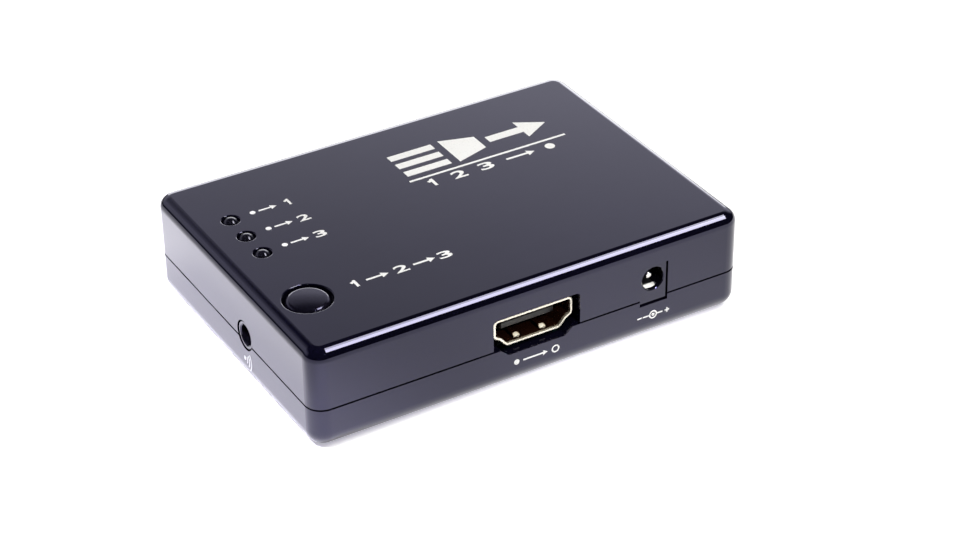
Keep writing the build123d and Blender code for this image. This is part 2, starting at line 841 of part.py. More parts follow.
with BuildPart() as select_button:
    with BuildSketch(button_upright):
        with BuildLine():
            Polyline(
                (0, button_top),
                (0, button_flange_bottom),
                (button_flange_diameter / 2, button_flange_bottom),
                (button_flange_diameter / 2, button_flange_top),
                (button_radius, button_flange_top),
                (button_radius, button_top - button_crown),
            )
            ThreePointArc(
                (button_radius, button_top - button_crown),
                (button_radius / 2, button_top - button_crown / 4),
                (0, button_top),
            )
        make_face()
    revolve(axis=button_axis)
    rim_point = (button_x + button_radius, button_y, button_top - button_crown)
    fillet(select_button.edges().sort_by_distance(rim_point)[0], button_rim_radius)
    with BuildSketch(Plane.XY.offset(button_flange_bottom)):
        with Locations((button_x, button_y)):
            Circle(button_radius - button_skin)
            Circle(button_post_diameter / 2, mode=Mode.SUBTRACT)
    extrude(amount=button_top - button_crown - button_skin - button_flange_bottom, mode=Mode.SUBTRACT)
    with BuildSketch(Plane.XY.offset(plunger_top)):
        with Locations((button_x, button_y)):
            Circle(button_post_diameter / 2)
    extrude(amount=button_flange_bottom - plunger_top)
save(select_button, "select_button")


# Push switch: base with the contact cavity, metal cover, plunger, snap dome and four terminals
def switch_peg_places():
    inset = switch_width - 2 * switch_peg_inset
    return GridLocations(inset, inset, 2, 2)


with BuildPart() as switch_base:
    with BuildSketch(Plane.XY.offset(board_top)):
        with Locations((button_x, button_y)):
            Rectangle(switch_width, switch_width)
    extrude(amount=switch_base_height)
    with BuildSketch(Plane.XY.offset(switch_floor_top)):
        with Locations((button_x, button_y)):
            Circle(switch_cavity_diameter / 2)
    extrude(amount=switch_base_height, mode=Mode.SUBTRACT)
    with BuildSketch(Plane.XY.offset(switch_base_top)):
        with Locations((button_x, button_y)):
            with switch_peg_places():
                Circle(switch_peg_diameter / 2)
    extrude(amount=switch_peg_height)
save(switch_base, "switch_base")

with BuildPart() as switch_cover:
    with BuildSketch(Plane.XY.offset(switch_base_top)):
        with Locations((button_x, button_y)):
            Rectangle(switch_width, switch_width)
            Circle(plunger_diameter / 2 + plunger_hole_gap, mode=Mode.SUBTRACT)
            with switch_peg_places():
                Circle(switch_peg_diameter / 2 + switch_peg_gap, mode=Mode.SUBTRACT)
    extrude(amount=switch_cover_thickness)
save(switch_cover, "switch_cover")

with BuildPart() as switch_plunger:
    flange_top = switch_base_top - plunger_flange_gap
    with BuildSketch(button_upright):
        with BuildLine():
            Polyline(
                (0, dome_top),
                (plunger_nose_diameter / 2, dome_top),
                (plunger_nose_diameter / 2, flange_top - plunger_flange_height),
                (plunger_flange_diameter / 2, flange_top - plunger_flange_height),
                (plunger_flange_diameter / 2, flange_top),
                (plunger_diameter / 2, flange_top),
                (plunger_diameter / 2, plunger_top),
                (0, plunger_top),
                close=True,
            )
        make_face()
    revolve(axis=button_axis)
save(switch_plunger, "switch_plunger")

with BuildPart() as switch_dome:
    dome_radius = ((dome_diameter / 2) ** 2 + dome_height**2) / (2 * dome_height)
    with BuildSketch(button_upright):
        with Locations((0, dome_top - dome_radius)):
            Circle(dome_radius)
            Circle(dome_radius - dome_thickness, mode=Mode.SUBTRACT)
        with Locations((0, switch_floor_top)):
            Rectangle(dome_diameter, dome_height, align=(Align.MIN, Align.MIN), mode=Mode.INTERSECT)
    revolve(axis=button_axis)
save(switch_dome, "switch_dome")

with BuildPart() as switch_terminals:
    for side in (-1, 1):
        terminal_planes = [
            Plane(
                origin=(button_x, button_y + row * switch_lead_row / 2, board_top),
                x_dir=(side, 0, 0),
                z_dir=(0, -side, 0),
            )
            for row in (-1, 1)
        ]
        with BuildSketch(*terminal_planes):
            with BuildLine():
                Polyline(
                    (switch_width / 2, switch_lead_height),
                    (switch_width / 2 + switch_lead_reach, switch_lead_height),
                    (switch_width / 2 + switch_lead_reach, -board_thickness - switch_lead_below_board),
                )
            trace(line_width=switch_lead_thickness)
        extrude(amount=switch_lead_width / 2, both=True)
save(switch_terminals, "switch_terminals")


# Chips on the board, each a moulded block with bent leads along its sides
def chip_body(x, y, length, width, height):
    with BuildPart() as body:
        with BuildSketch(Plane.XY.offset(board_top + gull_thickness)):
            with Locations((x, y)):
                Rectangle(length, width)
        extrude(amount=height)
        chamfer(body.faces().sort_by(Axis.Z)[-1].edges(), chip_edge_chamfer)
    return body


def lead_planes(x, y, direction, count, pitch):
    """Upright planes for a row of leads: x runs outwards from the chip's centre, y runs up from the board."""
    outward = Vector(*direction, 0)
    row = Plane(origin=(x, y, board_top), x_dir=outward, z_dir=outward.cross(Vector(0, 0, 1)))
    return [row.offset((n - (count - 1) / 2) * pitch) for n in range(count)]


def bent_leads(planes, reach, width):
    """A row of gull wing leads that start at a chip's side, that far from its centre."""
    with BuildPart() as leads:
        with BuildSketch(*planes):
            with BuildLine():
                Polyline(
                    (reach, gull_height),
                    (reach + gull_shoulder, gull_height),
                    (reach + gull_shoulder, gull_thickness / 2),
                    (reach + gull_shoulder + gull_foot, gull_thickness / 2),
                )
            trace(line_width=gull_thickness)
        extrude(amount=width / 2, both=True)
    return leads.part


save(chip_body(chip_x, chip_y, chip_width, chip_width, chip_height), "switch_chip")

with BuildPart() as switch_chip_leads:
    for direction in ((1, 0), (0, 1), (-1, 0), (0, -1)):
        planes = lead_planes(chip_x, chip_y, direction, chip_lead_count, chip_lead_pitch)
        add(bent_leads(planes, chip_width / 2, chip_lead_width))
save(switch_chip_leads, "switch_chip_leads")

save(chip_body(control_x, control_y, control_length, control_width, chip_height), "control_chip")

with BuildPart() as control_chip_leads:
    for direction in ((0, 1), (0, -1)):
        planes = lead_planes(control_x, control_y, direction, control_lead_count, control_lead_pitch)
        add(bent_leads(planes, control_width / 2, control_lead_width))
save(control_chip_leads, "control_chip_leads")

save(
    chip_body(regulator_x, regulator_y, regulator_length, regulator_width, regulator_height),
    "regulator",
)

with BuildPart() as regulator_leads:
    legs = lead_planes(regulator_x, regulator_y, (0, -1), regulator_lead_count, regulator_lead_pitch)
    add(bent_leads(legs, regulator_width / 2, regulator_lead_width))
    tab = lead_planes(regulator_x, regulator_y, (0, 1), 1, regulator_lead_pitch)
    add(bent_leads(tab, regulator_width / 2, regulator_tab_width))
save(regulator_leads, "regulator_leads")


# Capacitors beside the chips, resistors beside the lights and the control chip, a diode behind each input
small_row = chip_width / 2 + gull_shoulder + gull_foot + capacitor_row_gap
tail_end = case_width / 2 - socket_recess - shell_length - upper_tail_reach - contact_foot_length

with BuildPart() as capacitors:
    with BuildSketch(Plane.XY.offset(board_top)):
        with Locations((chip_x, chip_y)):
            with GridLocations(2 * small_length, 2 * small_row, 4, 2):
                Rectangle(small_length, small_width)
    extrude(amount=small_height)
    with BuildSketch(Plane.XY.offset(board_top)):
        with Locations((regulator_x, regulator_y)):
            with GridLocations(regulator_length + 2 * large_capacitor_length, 0, 2, 1):
                Rectangle(large_capacitor_width, large_capacitor_length)
    extrude(amount=large_capacitor_height)
save(capacitors, "capacitors")

with BuildPart() as resistors:
    with BuildSketch(Plane.XY.offset(board_top)):
        for y in indicator_ys:
            with Locations((indicator_x + resistor_row_offset, y)):
                Rectangle(small_length, small_width)
        with Locations((control_x + resistor_row_offset, control_y)):
            with GridLocations(0, 2 * small_width, 1, 3):
                Rectangle(small_length, small_width)
    extrude(amount=small_height)
save(resistors, "resistors")

with BuildPart() as diodes:
    with BuildSketch(Plane.XY.offset(board_top)):
        for x in input_xs:
            with Locations((x, tail_end - diode_length)):
                Rectangle(diode_length, diode_width)
    extrude(amount=diode_height)
save(diodes, "diodes")


# Circuit board: notched for the sensor jack, pierced for screws and for every leg and lead
with BuildPart() as circuit_board:
    with BuildSketch(Plane.XY.offset(board_bottom)):
        RectangleRounded(board_length, board_width, board_corner_radius)
        with Locations((sensor_body_back + sensor_notch_gap, sensor_y)):
            Rectangle(
                board_length / 2,
                sensor_body_width + 2 * sensor_notch_gap,
                align=(Align.MAX, Align.CENTER),
                mode=Mode.SUBTRACT,
            )
        with GridLocations(screw_spacing_x, screw_spacing_y, 2, 2):
            Circle(screw_diameter / 2 + screw_free_gap, mode=Mode.SUBTRACT)
        for x, side in socket_ports:
            for depth in shell_leg_depths:
                leg_y = side * (case_width / 2 - socket_recess - depth - shell_leg_width / 2)
                with Locations((x, leg_y)):
                    with GridLocations(mouth_width + shell_thickness, 0, 2, 1):
                        Rectangle(
                            shell_thickness + 2 * lead_hole_gap,
                            shell_leg_width + 2 * lead_hole_gap,
                            mode=Mode.SUBTRACT,
                        )
        power_front = FRONT * (case_width / 2 - power_face_recess)
        with Locations((power_x, power_front + power_spring_leg_depth)):
            Rectangle(
                power_spring_width + 2 * lead_hole_gap,
                power_spring_thickness + 2 * lead_hole_gap,
                mode=Mode.SUBTRACT,
            )
        with Locations((power_x, power_front + power_body_length + power_leg_thickness / 2)):
            Rectangle(
                power_leg_width + 2 * lead_hole_gap,
                power_leg_thickness + 2 * lead_hole_gap,
                mode=Mode.SUBTRACT,
            )
        for y in indicator_ys:
            with Locations((indicator_x, y)):
                with GridLocations(lead_spacing, 0, 2, 1):
                    Circle(lead_hole_diameter / 2, mode=Mode.SUBTRACT)
        with Locations((button_x, button_y)):
            with GridLocations(switch_width + 2 * switch_lead_reach, switch_lead_row, 2, 2):
                Circle(switch_lead_width / 2 + lead_hole_gap, mode=Mode.SUBTRACT)
    extrude(amount=board_thickness)
save(circuit_board, "circuit_board")
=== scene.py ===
"""Looks of a small video input switch: gloss black case, gold sockets, three lights, one round button."""

from math import acos, pi, radians, tan

import bmesh
import bpy
from bmesh.types import BMEdge, BMVert
from mathutils import Matrix, Vector


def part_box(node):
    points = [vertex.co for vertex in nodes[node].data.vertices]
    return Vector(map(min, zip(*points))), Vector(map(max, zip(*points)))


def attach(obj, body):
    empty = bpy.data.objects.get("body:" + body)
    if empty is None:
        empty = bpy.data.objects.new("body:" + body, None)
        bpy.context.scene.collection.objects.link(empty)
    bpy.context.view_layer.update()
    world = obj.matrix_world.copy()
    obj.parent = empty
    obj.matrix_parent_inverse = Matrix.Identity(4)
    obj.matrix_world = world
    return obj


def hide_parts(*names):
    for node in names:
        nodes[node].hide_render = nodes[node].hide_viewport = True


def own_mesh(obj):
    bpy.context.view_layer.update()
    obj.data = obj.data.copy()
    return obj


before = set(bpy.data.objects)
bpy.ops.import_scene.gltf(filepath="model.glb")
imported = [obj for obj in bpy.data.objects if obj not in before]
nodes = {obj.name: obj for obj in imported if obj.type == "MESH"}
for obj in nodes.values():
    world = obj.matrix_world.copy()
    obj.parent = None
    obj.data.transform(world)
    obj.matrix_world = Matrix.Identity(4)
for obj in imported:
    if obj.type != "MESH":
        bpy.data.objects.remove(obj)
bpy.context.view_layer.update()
MM = 0.001
case_low, case_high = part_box("upper_case")


def add_object(name, data):
    holder = bpy.data.objects.new(name, data)
    bpy.context.scene.collection.objects.link(holder)
    return holder


def only(kind, geometry):
    """The vertices, or the edges, among what a mesh operator returns."""
    return [item for item in geometry if isinstance(item, kind)]


# Node trees, for the finishes and for the studio


class Wiring:
    """A node tree under work, with short ways to add nodes and to join them."""

    def __init__(self, tree):
        self.tree = tree

    def join(self, value, socket):
        """Another node's output is linked to the socket, and a plain value is set on it."""
        if isinstance(value, bpy.types.NodeSocket):
            self.tree.links.new(value, socket)
        else:
            socket.default_value = value

    def node(self, kind, **inputs):
        made = self.tree.nodes.new(kind)
        for name, value in inputs.items():
            self.join(value, made.inputs[name.replace("_", " ")])
        return made

    def math(self, operation, *values):
        made = self.node("ShaderNodeMath")
        made.operation = operation
        for value, socket in zip(values, made.inputs):
            self.join(value, socket)
        return made.outputs[0]

    def ranged(self, value, start, end, low, high, clamp=True):
        """Low where the value is at its start, high where it is at its end."""
        made = self.node("ShaderNodeMapRange", Value=value, From_Min=start, From_Max=end, To_Min=low, To_Max=high)
        made.clamp = clamp
        return made.outputs["Result"]

    def ramp(self, fac, stops):
        """Runs through these (place, colour) stops."""
        made = self.node("ShaderNodeValToRGB", Fac=fac)
        points = made.color_ramp.elements
        while len(points) < len(stops):
            points.new(0.5)
        for point, (place, colour) in zip(points, stops):
            point.position = place
            point.color = (*colour, 1)
        return made.outputs["Color"]


# Finishes: every one is a Principled surface with its own fine structure on Object coordinates, in metres

NOISE_SPAN = (0.3, 0.7)  # noise seldom leaves these values


class Finish(Wiring):
    """A material under work: its shader, and the patterns that lead into it."""

    def __init__(self, name, colour, roughness, metallic=0.0):
        self.material = bpy.data.materials.new(name)
        self.material.use_nodes = True
        super().__init__(self.material.node_tree)
        self.shader = self.tree.nodes["Principled BSDF"]
        self.set(Base_Color=(*colour, 1), Roughness=roughness, Metallic=metallic)
        self.place = self.node("ShaderNodeTexCoord").outputs["Object"]

    def set(self, **values):
        for name, value in values.items():
            self.join(value, self.shader.inputs[name.replace("_", " ")])

    def grain(self, size, detail=2.0, stretch=(1, 1, 1)):
        """Cloudy noise with blobs of about that size in metres."""
        turned = self.node("ShaderNodeMapping", Vector=self.place, Scale=stretch)
        noise = self.node("ShaderNodeTexNoise", Vector=turned.outputs["Vector"], Scale=1 / size, Detail=detail)
        return noise.outputs["Fac"]

    def specks(self, size):
        """A cell pattern with cells of about that size in metres."""
        return self.node("ShaderNodeTexVoronoi", Vector=self.place, Scale=1 / size).outputs["Distance"]

    def coordinates(self):
        return self.node("ShaderNodeSeparateXYZ", Vector=self.place).outputs

    def colours(self, fac, *stops):
        self.set(Base_Color=self.ramp(fac, stops))

    def rough(self, noise, low, high):
        self.set(Roughness=self.ranged(noise, *NOISE_SPAN, low, high))

    def relief(self, fac, depth, strength=1.0):
        bump = self.node("ShaderNodeBump", Height=fac, Strength=strength, Distance=depth)
        self.set(Normal=bump.outputs["Normal"])


GLOSS_IOR = 1.42
NYLON_IOR = 1.48
PLATING_RELIEF = 0.0008 * MM


def gloss_plastic(name, dark, pale, roughness, coat, tint):
    """Polished black with a cool sheen: faint flow ripples from the mould and a little wiping haze."""
    finish = Finish(name, dark, roughness)
    finish.set(IOR=GLOSS_IOR, Specular_Tint=(*tint, 1.0))
    finish.set(Coat_Weight=coat, Coat_IOR=GLOSS_IOR, Coat_Roughness=0.03)
    finish.colours(finish.grain(7 * MM, detail=3.0), (0.3, dark), (0.75, pale))
    haze = finish.grain(9 * MM, detail=4.0, stretch=(1, 3, 1))
    finish.rough(haze, low=roughness * 0.7, high=roughness * 1.5)
    finish.relief(finish.grain(2.6 * MM, detail=1.0), depth=0.0012 * MM)
    return finish.material


def matt_plastic(name, dark, pale, roughness, grain_size=0.15 * MM):
    finish = Finish(name, dark, roughness)
    finish.set(IOR=NYLON_IOR)
    finish.colours(finish.grain(2.5 * MM, detail=3.0), (0.3, dark), (0.7, pale))
    finish.rough(finish.grain(0.8 * MM), low=roughness * 0.85, high=roughness * 1.2)
    finish.relief(finish.grain(grain_size, detail=3.0), depth=0.004 * MM)
    return finish.material


def plated_metal(name, dark, pale, roughness, brushing=(1, 1, 1)):
    finish = Finish(name, pale, roughness, metallic=1.0)
    finish.colours(finish.grain(1.6 * MM, detail=3.0), (0.3, dark), (0.65, pale))
    wear = finish.grain(0.5 * MM, detail=3.0, stretch=brushing)
    finish.rough(wear, low=roughness * 0.7, high=roughness * 1.5)
    finish.relief(finish.grain(0.12 * MM, stretch=brushing), depth=PLATING_RELIEF)
    return finish.material


# The sockets' shells: how far the bright lip reaches in before the painted shade inside begins, and where the painted
# highlights on the springs' crests lie
LIP_REACH = 0.55 * MM
CREST_ASIDE, CREST_DEPTH = 2.43 * MM, 1.3 * MM
CREST_HALF_WIDTH, CREST_HALF_LENGTH = 0.62 * MM, 0.6 * MM


def shell_metal(shell):
    """Pale gold plating on the lip, with painted highlights on the spring crests and painted shade, dull brown to near
    black, further inside.
    """
    gold = (0.86, 0.76, 0.58)
    finish = Finish(f"{shell}_gold_with_painted_shade", gold, 0.26, metallic=1.0)
    low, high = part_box(shell)
    mouth, inward = (low.y, 1) if low.y < 0 else (high.y, -1)
    middle = (low.x + high.x) / 2
    spot = finish.coordinates()

    def off(axis, centre, size):
        """How far that coordinate is from the centre, in sizes."""
        return finish.ranged(spot[axis], centre, centre + size, 0, 1, clamp=False)

    uneven = finish.ranged(finish.grain(0.5 * MM), *NOISE_SPAN, -0.12, 0.12)
    # painted shade: the colour darkens the further a point lies in from the lip
    painted_shade_depth = finish.math("ADD", off("Y", mouth, inward * LIP_REACH), uneven)
    from_middle = finish.math("ABSOLUTE", off("X", middle, CREST_HALF_WIDTH))
    aside = finish.math("SUBTRACT", from_middle, CREST_ASIDE / CREST_HALF_WIDTH)
    along = off("Y", mouth + inward * CREST_DEPTH, CREST_HALF_LENGTH)
    crest = finish.math("ADD", finish.math("POWER", aside, 2.0), finish.math("POWER", along, 2.0))
    # the cream stop is the lip's own pale gold and a painted highlight on the spring crests; the two browns are
    # painted shade inside the shell
    finish.colours(
        finish.math("MINIMUM", painted_shade_depth, crest),
        (0.0, (0.96, 0.91, 0.78)),
        (0.62, gold),
        (0.95, (0.09, 0.032, 0.016)),
        (1.0, (0.040, 0.012, 0.006)),
    )
    # the crests lose most of their metal, so their pale painted highlight shows under any lamp
    finish.set(Metallic=finish.ranged(crest, start=0.5, end=1.0, low=0.1, high=0.75))
    finish.rough(finish.grain(0.4 * MM, detail=3.0), low=0.2, high=0.36)
    finish.relief(finish.grain(0.12 * MM), depth=PLATING_RELIEF)
    return finish.material


def clear_resin():
    """The lights' smoky resin, with a few flow lines."""
    finish = Finish("light_smoked_resin", (0.03, 0.03, 0.04), 0.04)
    finish.set(Transmission_Weight=0.1, IOR=1.46, Specular_Tint=(0.75, 0.74, 1.0, 1.0))
    finish.colours(finish.grain(1.2 * MM), (0.3, (0.004, 0.004, 0.007)), (0.7, (0.008, 0.008, 0.013)))
    finish.rough(finish.grain(0.7 * MM), low=0.02, high=0.07)
    finish.relief(finish.grain(1.1 * MM), depth=0.001 * MM)
    return finish.material


def solder_mask():
    """Green lacquer over copper: darker where the ground plane lies under it, with thin etched gaps."""
    finish = Finish("board_green", (0.01, 0.12, 0.05), 0.32)
    finish.set(IOR=1.5, Coat_Weight=0.4, Coat_Roughness=0.12)
    traces = finish.node(
        "ShaderNodeTexBrick",
        Vector=finish.place,
        Scale=1.0,
        Mortar_Size=0.12 * MM,
        Brick_Width=4.6 * MM,
        Row_Height=1.3 * MM,
    ).outputs["Fac"]
    finish.colours(traces, (0.2, (0.0015, 0.010, 0.009)), (0.8, (0.003, 0.022, 0.016)))
    finish.rough(finish.grain(0.6 * MM), low=0.26, high=0.42)
    finish.relief(traces, depth=0.02 * MM, strength=0.5)
    return finish.material


# Heights above the table between which the sockets' tongues carry a painted highlight, a paler band along their upper
# part
TONGUE_HIGHLIGHT_FROM, TONGUE_HIGHLIGHT_TO = 10.28 * MM, 10.56 * MM


def tongue_plastic():
    """The sockets' black nylon, with a painted highlight: a paler band on the upper part of the tongue."""
    black = (0.004, 0.003, 0.004)
    finish = Finish("socket_black_nylon", black, 0.3)
    finish.set(IOR=NYLON_IOR)
    level = finish.ranged(finish.coordinates()["Z"], TONGUE_HIGHLIGHT_FROM, TONGUE_HIGHLIGHT_TO, 0, 1)
    # painted highlight: black below the band, pale grey in it, dark grey above
    finish.colours(
        level,
        (0.0, black),
        (0.35, (0.26, 0.25, 0.27)),
        (0.8, (0.20, 0.19, 0.21)),
        (1.0, (0.07, 0.065, 0.075)),
    )
    finish.rough(finish.grain(0.5 * MM), low=0.26, high=0.38)
    finish.relief(finish.grain(0.15 * MM, detail=3.0), depth=0.004 * MM)
    return finish.material


# How far behind the power jack's face the spring keeps its pale painted highlight, and over what length that fades
# into painted shade
SPRING_PALE_LENGTH, SPRING_FADE = 1.5 * MM, 0.2 * MM


def jack_spring_metal():
    """Matt tin, lifted to near white on the spring's crest as a painted highlight; the rest is darkened as painted
    shade inside the bore.
    """
    finish = Finish("spring_tin_highlight_shade", (0.95, 0.94, 0.92), 0.5, metallic=0.25)
    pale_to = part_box("power_jack_body")[0].y + SPRING_PALE_LENGTH
    level = finish.ranged(finish.coordinates()["Y"], pale_to, pale_to + SPRING_FADE, 0, 1)
    # near white is the painted highlight on the crest, the dark stop is painted shade further in the bore
    finish.colours(level, (0.0, (0.97, 0.96, 0.94)), (0.4, (0.5, 0.5, 0.5)), (1.0, (0.012, 0.012, 0.013)))
    finish.rough(finish.grain(0.5 * MM, detail=3.0), low=0.4, high=0.6)
    finish.relief(finish.grain(0.12 * MM), depth=PLATING_RELIEF)
    return finish.material


def ceramic_block():
    finish = Finish("capacitor_ceramic", (0.36, 0.25, 0.15), 0.5)
    finish.colours(finish.grain(0.5 * MM), (0.3, (0.32, 0.22, 0.13)), (0.7, (0.42, 0.31, 0.2)))
    finish.rough(finish.specks(0.2 * MM), low=0.42, high=0.6)
    finish.relief(finish.grain(0.1 * MM), depth=0.003 * MM)
    return finish.material


def resistor_block():
    finish = Finish("resistor_glaze", (0.02, 0.02, 0.022), 0.3)
    finish.colours(finish.grain(0.6 * MM), (0.3, (0.015, 0.015, 0.017)), (0.7, (0.035, 0.035, 0.037)))
    finish.rough(finish.grain(0.3 * MM), low=0.22, high=0.4)
    finish.relief(finish.grain(0.15 * MM), depth=0.002 * MM)
    return finish.material


def print_ink():
    """Pad-printed white: a dense, slightly chalky film that thins a little here and there."""
    finish = Finish("white_print", (0.80, 0.80, 0.82), 0.5)
    film = finish.grain(0.35 * MM, detail=4.0)
    finish.colours(film, (0.22, (0.62, 0.62, 0.65)), (0.45, (0.81, 0.81, 0.83)))
    finish.rough(finish.grain(0.2 * MM), low=0.42, high=0.6)
    finish.relief(finish.grain(0.06 * MM), depth=0.002 * MM)
    return finish.material


finishes = {
    "case_plastic": gloss_plastic(
        "case_gloss_black",
        dark=(0.0018, 0.0016, 0.0055),
        pale=(0.0026, 0.0024, 0.0075),
        roughness=0.07,
        coat=0.9,
        tint=(0.36, 0.33, 1.0),
    ),
    "button_plastic": gloss_plastic(
        "button_satin_black",
        dark=(0.0030, 0.0027, 0.0055),
        pale=(0.0045, 0.0040, 0.0080),
        roughness=0.10,
        coat=0.3,
        tint=(0.50, 0.47, 1.0),
    ),
    "jack_plastic": gloss_plastic(
        "jack_black_nylon",
        dark=(0.0030, 0.0028, 0.0060),
        pale=(0.0050, 0.0046, 0.0085),
        roughness=0.14,
        coat=0.85,
        tint=(0.42, 0.39, 1.0),
    ),
    "switch_plastic": matt_plastic("switch_black_nylon", (0.012, 0.012, 0.013), (0.02, 0.02, 0.021), 0.45),
    "chip_plastic": matt_plastic("chip_black_epoxy", (0.016, 0.016, 0.017), (0.026, 0.026, 0.027), 0.55, 0.08 * MM),
    "contact_metal": plated_metal("contact_gold", (0.78, 0.50, 0.20), (0.92, 0.66, 0.30), 0.22),
    "plated_metal": plated_metal("jack_nickel", (0.70, 0.69, 0.66), (0.86, 0.85, 0.82), 0.16),
    "lead_metal": plated_metal("lead_tin", (0.62, 0.62, 0.62), (0.80, 0.80, 0.80), 0.34),
    "screw_steel": plated_metal("screw_black_zinc", (0.13, 0.13, 0.14), (0.24, 0.24, 0.25), 0.36),
    "switch_metal": plated_metal("switch_steel", (0.48, 0.48, 0.47), (0.66, 0.66, 0.64), 0.28, brushing=(1, 12, 1)),
    "board": solder_mask(),
    "socket_plastic": tongue_plastic(),
    "lens": clear_resin(),
    "ceramic": ceramic_block(),
    "resistor": resistor_block(),
}
white_ink = print_ink()


def dress_cad_nodes():
    """Every node takes the finish of the slot that it was packed with."""
    for name, node in nodes.items():
        slot = node.data.materials[0].name.split(".")[0]
        node.material_slots[0].link = "OBJECT"
        node.material_slots[0].material = shell_metal(name) if slot == "socket_metal" else finishes[slot]
    nodes["power_jack_spring"].material_slots[0].material = jack_spring_metal()


dress_cad_nodes()


def finished(bm, name, material, body, smooth=False):
    """A made shape becomes a named piece that rides on its body."""
    mesh = bpy.data.meshes.new(name)
    bm.to_mesh(mesh)
    bm.free()
    for polygon in mesh.polygons:
        polygon.use_smooth = smooth
    mesh.materials.append(material)
    piece = add_object(name, mesh)
    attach(piece, body)
    return piece


# Printing: flat lines, discs and digits, drawn in millimetres on a sheet and then laid on a face of the case

PRINT_THICKNESS = 0.012 * MM
PRINT_SINK = 0.01 * MM  # how far the film reaches into the case, so that nothing shows below it
STROKE_LIFT = 0.0006  # millimetres from one stroke's height to the next, so that crossing strokes share no plane
BEND_STEP = 9  # degrees
HEAD_SIZE = 1.9  # an arrow head's size, in widths of its shaft
HEAD_REACH = 1.4  # how far behind the tip the shaft ends, in sizes of the head, which is 1.5 sizes long
FLAG_WIDTH, FLAG_HEADING, FLAG_DROP = 0.33, 205, 0.7  # of the digit 1, in digit widths, degrees and strokes
STEM_PLACE = 0.6  # of the digit 1, in digit widths
DIGIT_BOLDNESS, DIGIT_STEPS = 0.02, 6


def lay_on(side):
    """From the drawing sheet to a face of the case: x to the right and y up, as that face is seen."""
    upright = Matrix.Rotation(radians(90), 4, "X")
    return {
        "top": Matrix.Translation((0, 0, case_high.z)),
        "front": Matrix.Translation((0, case_low.y, 0)) @ upright,
        "back": Matrix.Translation((0, case_high.y, 0)) @ Matrix.Rotation(radians(180), 4, "Z") @ upright,
        "left": Matrix.Translation((case_low.x, 0, 0)) @ Matrix.Rotation(radians(-90), 4, "Z") @ upright,
    }[side]


